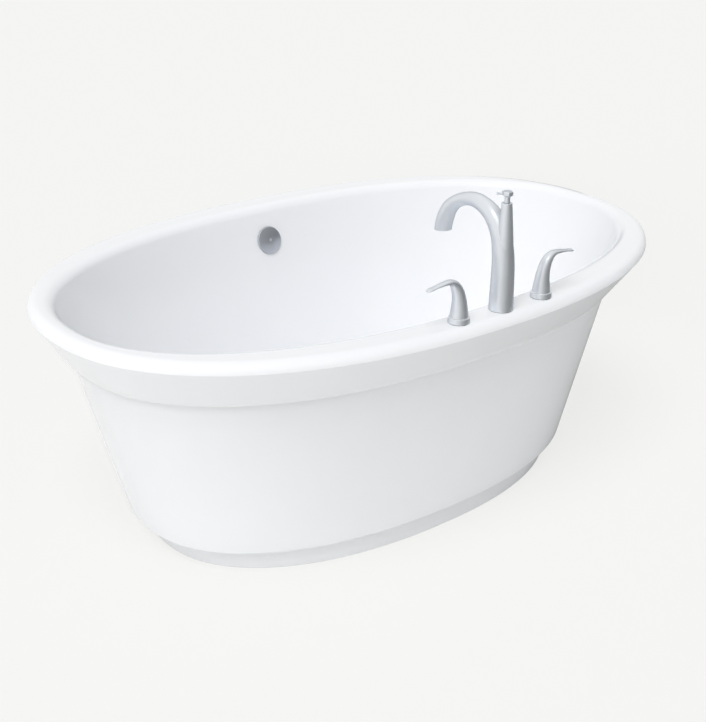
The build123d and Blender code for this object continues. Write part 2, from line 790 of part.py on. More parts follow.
def lock_nut(width, bore, x):
    z = deck_under - washer_thickness - lock_nut_height
    nut = hexagon(width, lock_nut_height, x, -tap_line, z)
    return nut - disc(bore, lock_nut_height + 2 * overrun, x, -tap_line, z - overrun)


def transfer_pipes():
    """Rigid pipes that carry mixed water from the valves to the shank."""
    pipes = Part()
    length = tap_spacing / 2 - 2 * (union_length - transfer_socket)
    z = bath_height - union_height
    for side in (-1, 1):
        along = Pos(fittings_x + side * tap_spacing / 4, -tap_line, z) * Rot(0, 90, 0)
        pipe = along * Cylinder(transfer_pipe_radius, length)
        pipes += pipe - along * Cylinder(transfer_pipe_radius - transfer_pipe_wall, length + 2 * overrun)
    return pipes


def diverter_base():
    return bath_height + gasket_thickness + column_height


def diverter_knob():
    """Hexagonal knob on a round neck, narrowed at its waist."""
    x, y = spout_xy
    z = diverter_base() + turning_gap
    neck = disc(knob_neck_radius, knob_neck_height, x, y, z)
    low = Pos(x, y, z + knob_neck_height) * RegularPolygon(knob_radius * knob_waist_share, 6)
    waist_z = z + knob_neck_height + knob_height * knob_flare_share
    wide = Pos(x, y, waist_z) * RegularPolygon(knob_radius, 6)
    knob = neck + loft([low, wide])
    top = Pos(x, y, waist_z) * extrude(RegularPolygon(knob_radius, 6), knob_height * (1 - knob_flare_share))
    top = chamfer(top.edges().group_by(Axis.Z)[-1], knob_edge)
    knob += top
    knob -= disc(diverter_spindle_radius, knob_neck_height + overrun, x, y, z - overrun)
    return knob - diverter_pin_solid()


def diverter_pin_solid():
    x, y = spout_xy
    z = diverter_base() + turning_gap + knob_neck_height + knob_height / 2
    place = Pos(x, y, z) * Rot(0, 0, diverter_pin_angle) * Rot(0, 90, 0) * Pos(0, 0, knob_neck_radius)
    return place * Cylinder(diverter_pin_radius, diverter_pin_length - knob_neck_radius, align=MIN_Z)


def diverter_pin():
    pin = diverter_pin_solid()
    x, y = spout_xy
    z = diverter_base() + turning_gap + knob_neck_height + knob_height / 2
    tip = Pos(x, y, z) * Rot(0, 0, diverter_pin_angle) * Pos(diverter_pin_length, 0, 0)
    return pin + tip * Sphere(diverter_pin_tip_radius)


def diverter_spindle():
    x, y = spout_xy
    low = diverter_base() - diverter_spindle_depth + turning_gap
    top = diverter_base() + turning_gap + knob_neck_height
    return disc(diverter_spindle_radius, top - low, x, y, low)


# Centre line of a lever: outward and up, as shares of its reach and height, then half thickness and half
# width as shares of its foot radius
lever_shares = [(0.0, 0.0, 1.0, 1.0), (0.0, 0.17, 0.9, 0.9), (0.008, 0.36, 0.8, 0.8), (0.03, 0.54, 0.71, 0.72),
                (0.08, 0.72, 0.61, 0.66), (0.175, 0.89, 0.47, 0.58), (0.3, 0.985, 0.31, 0.5),
                (0.45, 1.0, 0.21, 0.44), (0.63, 0.985, 0.155, 0.4), (0.82, 0.955, 0.115, 0.36),
                (0.985, 0.925, 0.08, 0.28), (1.0, 0.922, 0.045, 0.22)]


def lever_foot():
    return bath_height + gasket_thickness + escutcheon_height + collar_height + turning_gap


def lever_body():
    """Swan-necked lever that tapers from a round foot to a thin flat tip pointing along +X, at the origin."""
    rise = bath_height + lever_height - lever_foot()
    points = [Vector(lever_reach * out, 0, rise * up) for out, up, _, _ in lever_shares]
    wires = []
    for index, point in enumerate(points):
        before = points[max(index - 1, 0)]
        after = points[min(index + 1, len(points) - 1)]
        tangent = after - before if index else Vector(0, 0, rise)
        plane = Plane(origin=point, x_dir=(0, 1, 0), z_dir=tangent)
        _, _, thin, wide = lever_shares[index]
        wires.append((plane * Ellipse(lever_radius * wide, lever_radius * thin)).wire())
    body = Part() + Solid.make_loft(wires)
    body -= disc(spindle_radius, spindle_rise + overrun, 0, 0, -overrun)
    return body - set_screw_place() * Cylinder(set_screw_radius, lever_radius, align=MIN_Z)


def set_screw_place():
    """From the spindle outwards, square to the lever's arm."""
    return Pos(0, spindle_radius, set_screw_height) * Rot(-90, 0, 0)


def set_screw_body():
    """Grub screw with a hexagonal socket."""
    screw = Cylinder(set_screw_radius, set_screw_length, align=MIN_Z)
    screw -= hexagon(set_screw_radius, set_screw_radius + overrun, 0, 0, set_screw_length - set_screw_radius)
    return set_screw_place() * screw


def at_tap(body, x, side):
    """Puts a lever piece on its tap, mirrored where the lever points along -X."""
    body = body if side > 0 else mirror(body, Plane.YZ)
    return Pos(x, -tap_line, lever_foot()) * body


def escutcheon(x):
    ring = disc(escutcheon_radius, escutcheon_height, x, -tap_line, bath_height + gasket_thickness)
    ring = chamfer(ring.edges().group_by(Axis.Z)[-1], escutcheon_bevel)
    return ring - disc(valve_radius + pipe_fit, escutcheon_height + 2 * overrun, x, -tap_line, bath_height - overrun)


def collar(x):
    z = bath_height + gasket_thickness + escutcheon_height
    return tube(collar_radius, spindle_radius + turning_gap, collar_height, x, -tap_line, z)


def tap_gasket(x):
    return tube(escutcheon_radius - gasket_thickness, valve_radius + pipe_fit, gasket_thickness, x, -tap_line,
                bath_height)


def valve_body(x, side):
    """Valve through the deck: spindle bore above, inlet tail below, union towards the spout."""
    low = bath_height - valve_length
    top = bath_height + gasket_thickness + valve_rise
    body = disc(valve_radius, top - low, x, -tap_line, low)
    body += disc(inlet_radius, inlet_length, x, -tap_line, low, up=False)
    arm, bore = union_arm(x, -side)
    body += arm
    body -= bore
    spindle_low = lever_foot() - spindle_depth - pipe_fit
    body -= disc(spindle_radius + running_fit, top - spindle_low + overrun, x, -tap_line, spindle_low)
    return body - disc(inlet_bore, union_height, x, -tap_line, low - inlet_length - overrun)


def spindle(x):
    low = lever_foot() - spindle_depth
    top = lever_foot() + spindle_rise
    return disc(spindle_radius, top - low, x, -tap_line, low)


def make_parts():
    nodes = {
        "tub_shell": tub_shell(),
        "skirt_panel": skirt_panel(),
        "plinth_ring": plinth_ring(),
        "floor_board": floor_board(),
        "cross_beams": cross_beams(),
        "levelling_feet": levelling_feet(),
        "foot_lock_nuts": foot_lock_nuts(),
        "rim_struts": rim_struts(),
        "strut_screws": strut_screws(),
        "overflow_cover": overflow_cover(),
        "overflow_screw": overflow_screw(),
        "overflow_gasket": overflow_gasket(),
        "overflow_elbow": overflow_elbow(),
        "overflow_pipe": overflow_pipe(),
        "drain_flange": drain_flange(),
        "drain_stopper": drain_stopper(),
        "stopper_seal": stopper_seal(),
        "drain_gasket": drain_gasket(),
        "drain_shoe": drain_shoe(),
        "waste_pipe": waste_pipe(),
        "slip_nuts": slip_nuts(),
        "waste_tee": waste_tee(),
        "tailpiece": tailpiece(),
        "spout_body": spout_body(),
        "spout_insert": spout_insert(),
        "spout_gasket": spout_gasket(),
        "spout_shank": spout_shank(),
        "spout_washer": washer(washer_radius, shank_radius + pipe_fit, fittings_x),
        "spout_nut": lock_nut(lock_nut_width, shank_radius, fittings_x),
        "transfer_pipes": transfer_pipes(),
        "diverter_knob": diverter_knob(),
        "diverter_pin": diverter_pin(),
        "diverter_spindle": diverter_spindle(),
    }
    for name, side in (("hot", -1), ("cold", 1)):
        x = fittings_x + side * tap_spacing / 2
        nodes[name + "_escutcheon"] = escutcheon(x)
        nodes[name + "_collar"] = collar(x)
        nodes[name + "_gasket"] = tap_gasket(x)
        nodes[name + "_valve_body"] = valve_body(x, side)
        nodes[name + "_washer"] = washer(washer_radius, valve_radius + pipe_fit, x)
        nodes[name + "_nut"] = lock_nut(lock_nut_width, valve_radius, x)
        nodes[name + "_lever"] = at_tap(lever_body(), x, side)
        nodes[name + "_spindle"] = spindle(x)
        nodes[name + "_set_screw"] = at_tap(set_screw_body(), x, side)
    return nodes


for node, solid in make_parts().items():
    export_step(solid, f"parts/{node}.step")
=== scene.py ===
import math

import bmesh
import bpy
import numpy
from mathutils import Matrix, Vector


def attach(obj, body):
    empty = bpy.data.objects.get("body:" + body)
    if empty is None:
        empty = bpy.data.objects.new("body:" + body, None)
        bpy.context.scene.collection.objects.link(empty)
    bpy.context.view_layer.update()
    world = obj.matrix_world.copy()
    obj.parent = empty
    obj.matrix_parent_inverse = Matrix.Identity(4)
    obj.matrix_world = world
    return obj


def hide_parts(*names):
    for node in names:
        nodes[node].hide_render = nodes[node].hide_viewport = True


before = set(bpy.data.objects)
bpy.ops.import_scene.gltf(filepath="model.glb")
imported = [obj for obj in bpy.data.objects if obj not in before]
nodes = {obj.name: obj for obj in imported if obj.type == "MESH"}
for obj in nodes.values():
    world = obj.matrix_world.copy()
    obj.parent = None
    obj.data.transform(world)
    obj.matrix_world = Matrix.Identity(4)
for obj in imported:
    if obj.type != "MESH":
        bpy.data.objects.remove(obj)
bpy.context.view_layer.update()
mm = 0.001
print("stage: frame loaded,", len(nodes), "nodes")

# Camera, worked out from the outline of the rim, the skirt and the spout
shot = {
    "place": (-1.8739, -2.3517, 1.6903),
    "right": (0.7869, -0.6170, 0.0093),
    "up": (0.2484, 0.3306, 0.9105),
    "lens": 63.69,      # with the sensor's size on the picture's long side
    "sensor": 36.0,
    "nearest": 0.05,
    "furthest": 200.0,
}


def placeCamera(spec):
    data = bpy.data.cameras.new("shotCamera")
    data.sensor_width = spec["sensor"]
    data.lens = spec["lens"]
    data.clip_start = spec["nearest"]
    data.clip_end = spec["furthest"]
    camera = bpy.data.objects.new("shotCamera", data)
    right = Vector(spec["right"]).normalized()
    back = right.cross(Vector(spec["up"])).normalized()
    up = back.cross(right)
    turn = Matrix((right, up, back)).transposed().to_4x4()
    camera.matrix_world = Matrix.Translation(spec["place"]) @ turn
    bpy.context.scene.collection.objects.link(camera)
    bpy.context.scene.camera = camera


placeCamera(shot)
bpy.context.scene.view_settings.view_transform = "Standard"
print("stage: camera placed")


# Colours are written as sRGB hex and turned linear here
def linear(code):
    parts = [int(code[i:i + 2], 16) / 255 for i in (1, 3, 5)]
    return tuple(p / 12.92 if p <= 0.04045 else ((p + 0.055) / 1.055) ** 2.4 for p in parts) + (1.0,)


# A socket given as a socket is linked, anything else is set on it
def addNode(tree, kind, settings=None, sockets=None):
    node = tree.nodes.new(kind)
    for key, value in (settings or {}).items():
        setattr(node, key, value)
    for key, value in (sockets or {}).items():
        if isinstance(value, bpy.types.NodeSocket):
            tree.links.new(value, node.inputs[key])
        else:
            node.inputs[key].default_value = value
    return node


def startMaterial(name):
    material = bpy.data.materials.new(name)
    material.use_nodes = True
    material.node_tree.nodes.clear()
    return material, material.node_tree


# Noise that varies over a real size in millimetres, stretched along one axis where asked
def mottle(tree, sizeMm, detail=3.0, stretch=(1.0, 1.0, 1.0)):
    place = addNode(tree, "ShaderNodeTexCoord")
    scaled = addNode(tree, "ShaderNodeMapping", None, {"Vector": place.outputs["Object"], "Scale": stretch})
    return addNode(tree, "ShaderNodeTexNoise", None, {
        "Vector": scaled.outputs["Vector"], "Scale": 1 / (sizeMm * mm), "Detail": detail}).outputs["Fac"]


def between(tree, fac, low, high):
    return addNode(tree, "ShaderNodeMapRange", None, {
        "Value": fac, "To Min": low, "To Max": high}).outputs["Result"]


def blendColours(tree, fac, first, second):
    return addNode(tree, "ShaderNodeMix", {"data_type": "RGBA"}, {
        0: fac, 6: linear(first), 7: linear(second)}).outputs[2]


def bump(tree, height, depthMm):
    return addNode(tree, "ShaderNodeBump", None, {
        "Height": height, "Distance": depthMm * mm, "Strength": 1.0}).outputs["Normal"]


# Cast acrylic sheet, drawn over a mould and polished: clear gloss with a very slow ripple
acrylic = {"pale": "#F4F5F7", "cool": "#F1F2F5", "rippleMm": 70, "rippleDepthMm": 0.035, "patchMm": 240,
           "roughLow": 0.13, "roughHigh": 0.19, "ior": 1.49}


def makeAcrylic(spec):
    material, tree = startMaterial("castAcrylicGlossWhite")
    patch = mottle(tree, spec["patchMm"], 2.0)
    shader = addNode(tree, "ShaderNodeBsdfPrincipled", None, {
        "Base Color": blendColours(tree, patch, spec["pale"], spec["cool"]),
        "Roughness": between(tree, patch, spec["roughLow"], spec["roughHigh"]),
        "Normal": bump(tree, mottle(tree, spec["rippleMm"], 1.0), spec["rippleDepthMm"]),
        "IOR": spec["ior"]})
    addNode(tree, "ShaderNodeOutputMaterial", None, {"Surface": shader.outputs["BSDF"]})
    return material


# Metals: a base tone that wanders a little, with a blasted, turned or drawn grain in roughness and bump
metals = {
    # Nickel plated over brass and bead blasted, so that a part of the light scatters; cool grey
    "satin_nickel": {"name": "satinNickelPlate", "tone": "#EFF3F8", "second": "#EBEFF5", "patchMm": 30,
                     "metallic": 0.85, "edgeTone": "#8F959D",
                     "grainMm": 1.1, "stretch": (1.0, 1.0, 1.0), "roughLow": 0.34, "roughHigh": 0.38,
                     "depthMm": 0.0006},
    # The same plating on the pressed overflow cover, toned darker as painted shade, so that it mirrors less
    # of the bright bowl
    "shaded_cover_nickel": {"name": "satinNickelPaintedShadeCover", "tone": "#CBCFD6", "second": "#C4C8D0", "patchMm": 30,
                     "metallic": 0.85, "edgeTone": "#8F959D",
                     "grainMm": 1.1, "stretch": (1.0, 1.0, 1.0), "roughLow": 0.3, "roughHigh": 0.34,
                     "depthMm": 0.0006},
    # The same plating on the thin collars, buffed and lacquered: bright and a little milky
    "polished_nickel": {"name": "polishedNickelPlate", "tone": "#FAFBFD", "second": "#F4F6F9", "patchMm": 20,
                        "metallic": 0.5,
                        "grainMm": 4.0, "stretch": (1.0, 1.0, 1.0), "roughLow": 0.2, "roughHigh": 0.26,
                        "depthMm": 0.002},
    # Turned bar brass with fine tool rings around the axis
    "brass": {"name": "turnedBrass", "tone": "#C9A45C", "second": "#B48D48", "patchMm": 18,
              "grainMm": 1.6, "stretch": (0.15, 0.15, 1.0), "roughLow": 0.24, "roughHigh": 0.36,
              "depthMm": 0.015},
    # Zinc dip on mild steel: dull spangle in patches
    "zinc_steel": {"name": "zincDippedSteel", "tone": "#B4B8BB", "second": "#9DA2A6", "patchMm": 14,
                   "grainMm": 6.0, "stretch": (1.0, 1.0, 1.0), "roughLow": 0.34, "roughHigh": 0.5,
                   "depthMm": 0.02},
    # Drawn copper tube, a little tarnished, drawn along X
    "copper": {"name": "drawnCopperTube", "tone": "#C6825F", "second": "#A66647", "patchMm": 22,
               "grainMm": 2.0, "stretch": (0.1, 1.0, 1.0), "roughLow": 0.26, "roughHigh": 0.42,
               "depthMm": 0.01},
}


def makeMetal(spec):
    material, tree = startMaterial(spec["name"])
    grain = mottle(tree, spec["grainMm"], 2.0, spec["stretch"])
    shader = addNode(tree, "ShaderNodeBsdfPrincipled", None, {
        "Base Color": blendColours(tree, mottle(tree, spec["patchMm"], 2.0), spec["tone"], spec["second"]),
        "Metallic": spec.get("metallic", 1.0),
        "Specular Tint": linear(spec.get("edgeTone", "#FFFFFF")),
        "Roughness": between(tree, grain, spec["roughLow"], spec["roughHigh"]),
        "Normal": bump(tree, grain, spec["depthMm"])})
    addNode(tree, "ShaderNodeOutputMaterial", None, {"Surface": shader.outputs["BSDF"]})
    return material


# Moulded plastics and rubber: matt skin with the fine texture of the tool
moulded = {
    # Extruded and injection moulded white PVC, slightly yellow against the acrylic
    "white_pvc": {"name": "mouldedPvcWhite", "tone": "#E6E6E1", "second": "#DCDCD6", "patchMm": 40,
                  "grainMm": 1.8, "roughLow": 0.38, "roughHigh": 0.5, "depthMm": 0.02, "ior": 1.53},
    # Vulcanised black rubber with a bloom of talc
    "rubber": {"name": "vulcanisedRubberBlack", "tone": "#1D1D1E", "second": "#2B2B2C", "patchMm": 9,
               "grainMm": 1.2, "roughLow": 0.6, "roughHigh": 0.78, "depthMm": 0.03, "ior": 1.52},
}


def makeMoulded(spec):
    material, tree = startMaterial(spec["name"])
    grain = mottle(tree, spec["grainMm"], 3.0)
    shader = addNode(tree, "ShaderNodeBsdfPrincipled", None, {
        "Base Color": blendColours(tree, mottle(tree, spec["patchMm"], 2.0), spec["tone"], spec["second"]),
        "Roughness": between(tree, grain, spec["roughLow"], spec["roughHigh"]),
        "Normal": bump(tree, grain, spec["depthMm"]),
        "IOR": spec["ior"]})
    addNode(tree, "ShaderNodeOutputMaterial", None, {"Surface": shader.outputs["BSDF"]})
    return material


# Sealed birch plywood: long face grain along X and thin dark glue lines between the plies
plywood = {"face": "#D8BB8C", "grain": "#BF9A66", "edge": "#8F6B43", "plyMm": 1.5, "grainMm": 5.0,
           "stretch": (0.06, 1.0, 1.0), "roughLow": 0.4, "roughHigh": 0.58, "depthMm": 0.05, "ior": 1.5,
           "edgeFrom": 0.5, "edgeTo": 0.85, "lineFrom": 0.7, "lineTo": 0.95}


def makePlywood(spec):
    material, tree = startMaterial("sealedBirchPlywood")
    grain = mottle(tree, spec["grainMm"], 5.0, spec["stretch"])
    face = blendColours(tree, grain, spec["face"], spec["grain"])
    place = addNode(tree, "ShaderNodeTexCoord").outputs["Object"]
    plies = addNode(tree, "ShaderNodeTexWave", {"bands_direction": "Z"}, {
        "Vector": place, "Scale": math.pi / 10 / (spec["plyMm"] * mm)})
    lines = addNode(tree, "ShaderNodeMapRange", None, {
        "Value": plies.outputs["Fac"], "From Min": spec["lineFrom"], "From Max": spec["lineTo"]})
    shape = addNode(tree, "ShaderNodeNewGeometry").outputs["Normal"]
    upward = addNode(tree, "ShaderNodeSeparateXYZ", None, {"Vector": shape}).outputs["Z"]
    flat = addNode(tree, "ShaderNodeMath", {"operation": "ABSOLUTE"}, {0: upward}).outputs["Value"]
    side = addNode(tree, "ShaderNodeMapRange", None, {
        "Value": flat, "From Min": spec["edgeFrom"], "From Max": spec["edgeTo"],
        "To Min": 1.0, "To Max": 0.0})
    amount = addNode(tree, "ShaderNodeMath", {"operation": "MULTIPLY"}, {
        0: lines.outputs["Result"], 1: side.outputs["Result"]}).outputs["Value"]
    colour = addNode(tree, "ShaderNodeMix", {"data_type": "RGBA"}, {
        0: amount, 6: face, 7: linear(spec["edge"])}).outputs[2]
    shader = addNode(tree, "ShaderNodeBsdfPrincipled", None, {
        "Base Color": colour,
        "Roughness": between(tree, grain, spec["roughLow"], spec["roughHigh"]),
        "Normal": bump(tree, grain, spec["depthMm"]),
        "IOR": spec["ior"]})
    addNode(tree, "ShaderNodeOutputMaterial", None, {"Surface": shader.outputs["BSDF"]})
    return material


finishes = {"acrylic": makeAcrylic(acrylic), "birch_ply": makePlywood(plywood)}
finishes.update({slot: makeMetal(spec) for slot, spec in metals.items()})
finishes.update({slot: makeMoulded(spec) for slot, spec in moulded.items()})

# Which finish each carried-over solid has
nodeFinish = {
    "acrylic": [
        "tub_shell", "skirt_panel", "plinth_ring"],
    "satin_nickel": [
        "overflow_cover", "overflow_screw", "drain_flange", "drain_stopper", "spout_body",
        "diverter_knob", "diverter_pin", "hot_escutcheon", "hot_lever", "cold_escutcheon", "cold_lever"],
    "polished_nickel": [
        "hot_collar", "cold_collar"],
    "brass": [
        "spout_shank", "spout_nut", "diverter_spindle", "hot_valve_body", "hot_nut", "hot_spindle",
        "cold_valve_body", "cold_nut", "cold_spindle"],
    "rubber": [
        "overflow_gasket", "stopper_seal", "drain_gasket", "spout_gasket", "spout_washer", "hot_gasket",
        "hot_washer", "cold_gasket", "cold_washer"],
    "white_pvc": [
        "overflow_elbow", "overflow_pipe", "drain_shoe", "waste_pipe", "slip_nuts", "waste_tee",
        "tailpiece", "spout_insert"],
    "birch_ply": [
        "floor_board", "rim_struts"],
    "zinc_steel": [
        "cross_beams", "levelling_feet", "foot_lock_nuts", "strut_screws", "hot_set_screw",
        "cold_set_screw"],
    "copper": [
        "transfer_pipes"],
}
print("stage: materials made")


def dressNodes():
    for finish, names in nodeFinish.items():
        for name in names:
            for slot in nodes[name].material_slots:
                slot.material = finishes[finish]


dressNodes()
print("stage: solids dressed")

# Everything moulded in acrylic is a stack of level ovals, in millimetres
oval = {"power": 2.25, "points": 288, "sharpAngle": 35.0}

tub = {
    "length": 1676.0, "width": 1072.0, "height": 627.0, "wall": 6.0,
    "rimRound": 24.0, "lipDrop": 130.0, "lipInset": (69.0, 78.0), "lipEdge": 2.0,
    "lipSlope": (0.6, 0.7),     # how far the lip's inner edge leans out, as a share of lipEdge
    "rimWidth": (58.0, 100.0), "bowlRound": 30.0, "floorHeight": 135.0, "cornerRadius": 120.0,
    "leanShare": 0.33, "endLeanShare": 1.45,
    "cornerSteps": 28, "wallSteps": 22, "roundSteps": 12, "floorSteps": 10, "deckSteps": 4, "fasciaSteps": 8,
}

skirt = {
    "gap": 12.0, "wall": 5.0, "rise": 48.0, "footLength": 1276.0, "footWidth": 737.0, "footRound": 9.0,
    "flangeClearance": 4.0, "steps": 16, "roundSteps": 8,
}

plinth = {
    "height": 60.0, "topLength": 1192.0, "topWidth": 694.0, "length": 1178.0, "width": 684.0,
    "wall": 8.0, "ledge": 22.0, "edge": 1.5, "steps": 5,
}

# Holes through the shell: place, radius, and how far the cutter reaches, all hidden under the fittings
holes = {
    "deckX": (-112.0, 14.0, 140.0), "deckRadius": (11.5, 13.5, 11.5), "deckY": -491.0,
    "drain": (14.0, 100.0), "drainRadius": 23.1,
    "overflowX": 14.0, "overflowHeight": 537.0, "overflowRadius": 26.0,
    "reach": 30.0, "sides": 64,
}


def ovalPoint(a, b, turn):
    power = 2 / oval["power"]
    c, s = math.cos(turn), math.sin(turn)
    return math.copysign(abs(c) ** power, c) * a, math.copysign(abs(s) ** power, s) * b


# A skin over loops of points in millimetres; a stack that doesn't close on itself ends in two poles
def skinLoops(name, loops, closed):
    mesh = bpy.data.meshes.new(name)
    bm = bmesh.new()
    made = [[bm.verts.new([value * mm for value in point]) for point in loop] for loop in loops]
    count = len(made[0])
    pairs = list(zip(made, made[1:]))
    if closed:
        pairs.append((made[-1], made[0]))
    for low, high in pairs:
        for step in range(count):
            after = (step + 1) % count
            bm.faces.new((low[step], low[after], high[after], high[step]))
    if not closed:
        for loop in (made[0], made[-1]):
            pole = bm.verts.new(sum((vert.co for vert in loop), Vector()) / count)
            for step in range(count):
                bm.faces.new((pole, loop[step], loop[(step + 1) % count]))
    bmesh.ops.recalc_face_normals(bm, faces=bm.faces)
    bm.to_mesh(mesh)
    bm.free()
    piece = bpy.data.objects.new(name, mesh)
    bpy.context.scene.collection.objects.link(piece)
    return piece


# rings are (half length, half width, height)
def ovalSkin(name, rings, closed):
    turns = [2 * math.pi * step / oval["points"] for step in range(oval["points"])]
    return skinLoops(name, [[(*ovalPoint(a, b, turn), z) for turn in turns] for a, b, z in rings], closed)


def smooth(piece, angle=None):
    piece.data.shade_smooth()
    piece.data.set_sharp_from_angle(angle=math.radians(angle or oval["sharpAngle"]))


def shares(steps, ends=True):
    return [step / steps for step in range(0 if ends else 1, steps + 1)]


def lerp(first, second, share):
    return tuple(p + (q - p) * share for p, q in zip(first, second))


halfLength = tub["length"] / 2
halfWidth = tub["width"] / 2
bowlA = halfLength - tub["rimWidth"][0]
bowlB = halfWidth - tub["rimWidth"][1]
lean = math.atan(tub["leanShare"])
wallTopInset = -tub["bowlRound"] * (1 - math.cos(lean))
wallTopZ = tub["height"] - tub["bowlRound"] + tub["bowlRound"] * math.sin(lean)
wallLowZ = tub["floorHeight"] + tub["cornerRadius"] * (1 - math.sin(lean))
wallLowInset = wallTopInset + (wallTopZ - wallLowZ) * tub["leanShare"]
cornerInset = wallLowInset + tub["cornerRadius"] * math.cos(lean)


def bowlRing(inset, z):
    endInset = inset * tub["endLeanShare"] if inset > 0 else inset
    return bowlA - endInset, bowlB - inset, z


def bowlRings(skin):
    radius = tub["cornerRadius"] + skin
    foot = bowlRing(cornerInset, tub["floorHeight"] - skin)
    rings = [(foot[0] * share, foot[1] * share, foot[2]) for share in shares(tub["floorSteps"], False)[:-1]]
    for share in shares(tub["cornerSteps"]):
        turn = math.pi / 2 + (lean - math.pi / 2) * share
        rings.append(bowlRing(cornerInset - radius * math.cos(turn),
                              tub["floorHeight"] + tub["cornerRadius"] - radius * math.sin(turn)))
    radius = tub["bowlRound"] - skin
    low = rings[-1]
    turn = math.pi / 2 - lean
    high = bowlRing(radius * math.sin(turn) - tub["bowlRound"],
                    tub["height"] - tub["bowlRound"] + radius * math.cos(turn))
    for share in shares(tub["wallSteps"], False)[:-1]:
        rings.append(lerp(low, high, share))
    for share in shares(tub["roundSteps"]):
        turn = (math.pi / 2 - lean) * (1 - share)
        rings.append(bowlRing(radius * math.sin(turn) - tub["bowlRound"],
                              tub["height"] - tub["bowlRound"] + radius * math.cos(turn)))
    return rings


def rimRings(skin):
    a, b = halfLength - skin, halfWidth - skin
    radius = tub["rimRound"] - skin
    centreZ = tub["height"] - tub["rimRound"]
    rings = []
    for share in shares(tub["roundSteps"]):
        turn = math.pi / 2 * (1 - share)
        inset = radius * (1 - math.cos(turn))
        rings.append((a - inset, b - inset, centreZ + radius * math.sin(turn)))
    low = (a - tub["lipInset"][0], b - tub["lipInset"][1], tub["height"] - tub["lipDrop"])
    for share in shares(tub["fasciaSteps"], False)[:-1]:
        rings.append(lerp(rings[tub["roundSteps"]], low, share))
    edge = tub["lipEdge"]
    slopeA, slopeB = tub["lipSlope"]
    if skin:
        rings.append((low[0] + edge * slopeA, low[1] + edge * slopeA, low[2] + edge))
        rings.append((low[0] + edge * slopeA + edge / 2, low[1] + edge * slopeA + edge / 2, low[2]))
    else:
        rings.append((low[0] + edge * slopeA, low[1] + edge * slopeB, low[2] + edge))
        rings.append((low[0] - edge / 2, low[1] - edge / 2, low[2]))
    return rings


def deckRings(inner, outer):
    return [lerp(inner, outer, share) for share in shares(tub["deckSteps"], False)[:-1]]


# Middle of the overflow on the leaning wall, facing into the bowl
def overflowPlace(seat=0.0):
    wallY = bowlB - wallTopInset - (wallTopZ - holes["overflowHeight"]) * tub["leanShare"] - seat
    return (Matrix.Translation((holes["overflowX"], wallY, holes["overflowHeight"]))
            @ Matrix.Rotation(math.pi / 2 - lean, 4, "X"))


def makeShell():
    inside, outside = bowlRings(0), bowlRings(tub["wall"])
    rim, under = rimRings(0), rimRings(tub["wall"])
    rings = inside + deckRings(inside[-1], rim[0]) + rim
    rings += under[::-1] + deckRings(under[0], outside[-1]) + outside[::-1]
    piece = ovalSkin("tubShell", rings, closed=False)
    reach = 2 * holes["reach"]
    spots = [(Matrix.Translation((x, holes["deckY"], tub["height"])), r, reach)
             for x, r in zip(holes["deckX"], holes["deckRadius"])]
    spots.append((Matrix.Translation((*holes["drain"], tub["floorHeight"])), holes["drainRadius"], reach))
    spots.append((overflowPlace(), holes["overflowRadius"], reach))
    drill(piece, spots)
    smooth(piece)
    return piece


# Round holes in millimetres, each a place, a radius and a length centred on the place
def drill(piece, spots):
    bm = bmesh.new()
    for place, radius, length in spots:
        bmesh.ops.create_cone(bm, cap_ends=True, segments=holes["sides"], radius1=radius,
                              radius2=radius, depth=length, matrix=Matrix.Scale(mm, 4) @ place)
    mesh = bpy.data.meshes.new("holeCutters")
    bm.to_mesh(mesh)
    bm.free()
    cutter = bpy.data.objects.new("holeCutters", mesh)
    bpy.context.scene.collection.objects.link(cutter)
    join(piece, cutter, "DIFFERENCE")


def join(piece, other, operation):
    step = piece.modifiers.new(other.name, "BOOLEAN")
    step.operation = operation
    step.solver = "EXACT"
    step.object = other
    settle(piece)
    bpy.data.objects.remove(other)


# Modifiers are applied, so the mesh itself has the shape
def settle(piece):
    bpy.context.view_layer.update()
    graph = bpy.context.evaluated_depsgraph_get()
    mesh = bpy.data.meshes.new_from_object(piece.evaluated_get(graph))
    piece.modifiers.clear()
    piece.data = mesh


lipLow = tub["height"] - tub["lipDrop"]
skirtTop = lipLow + skirt["rise"]
skirtTopA = halfLength - tub["lipInset"][0] - skirt["gap"]
skirtTopB = halfWidth - tub["lipInset"][1] - skirt["gap"]


def skirtRing(z, skin=0.0):
    share = (z - plinth["height"]) / (lipLow - plinth["height"])
    return (skirt["footLength"] / 2 + (skirtTopA - skirt["footLength"] / 2) * share - skin,
            skirt["footWidth"] / 2 + (skirtTopB - skirt["footWidth"] / 2) * share - skin, z)


def makeSkirt():
    base = plinth["height"]
    ledge = (plinth["topLength"] / 2 - plinth["ledge"], plinth["topWidth"] / 2 - plinth["ledge"])
    rings = [(*ledge, base)]
    for share in shares(skirt["roundSteps"]):
        turn = math.pi / 2 * share
        rings.append(skirtRing(base + skirt["footRound"] * (1 - math.cos(turn)),
                               skirt["footRound"] * (1 - math.sin(turn))))
    flangeZ = skirtTop - skirt["wall"]
    roundZ = rings[-1][2]
    for share in shares(skirt["steps"], False):
        rings.append(skirtRing(roundZ + (flangeZ - roundZ) * share))
    rise = (flangeZ - lipLow) / (tub["lipDrop"] - tub["rimRound"])
    setIn = tub["wall"] + skirt["flangeClearance"]
    flangeA = halfLength - tub["lipInset"][0] * (1 - rise) - setIn
    flangeB = halfWidth - tub["lipInset"][1] * (1 - rise) - setIn
    rings += [(flangeA, flangeB, flangeZ), (flangeA, flangeB, skirtTop)]
    for share in shares(skirt["steps"]):
        rings.append(skirtRing(skirtTop + (base + skirt["wall"] - skirtTop) * share, skirt["wall"]))
    rings.append((*ledge, base + skirt["wall"]))
    piece = ovalSkin("skirtPanel", rings, closed=True)
    smooth(piece)
    return piece


